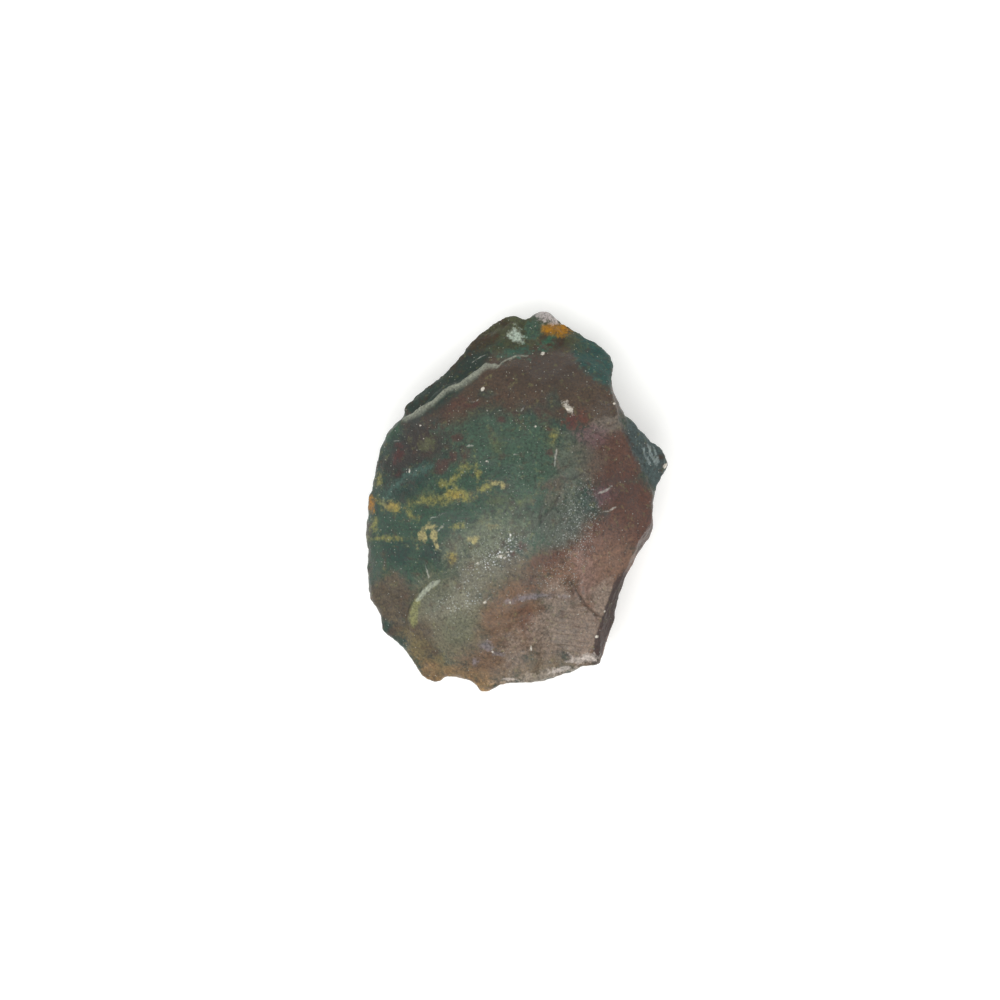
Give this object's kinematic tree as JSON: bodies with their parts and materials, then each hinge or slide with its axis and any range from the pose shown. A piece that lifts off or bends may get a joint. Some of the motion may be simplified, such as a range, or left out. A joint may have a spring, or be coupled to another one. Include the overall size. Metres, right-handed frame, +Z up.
{
  "type": "raw bloodstone",
  "caption": "Raw bloodstone: a broken lump of dark green chalcedony with brown, red and yellow patches, a waxy broad face, a ledge at one edge and a ragged rim",
  "frame": {"origin": "on the flat resting face's plane, under the middle of the stone's bounding box", "axes": "+Y along the stone towards the crusted end, +X across it towards the folded shoulder, +Z up through the broad face"},
  "size_m": [0.04, 0.0502, 0.0186],
  "materials": {
    "chalcedony": "satin"
  },
  "bodies": {
    "root": {"bloodstone": "chalcedony"}
  },
  "joints": []
}
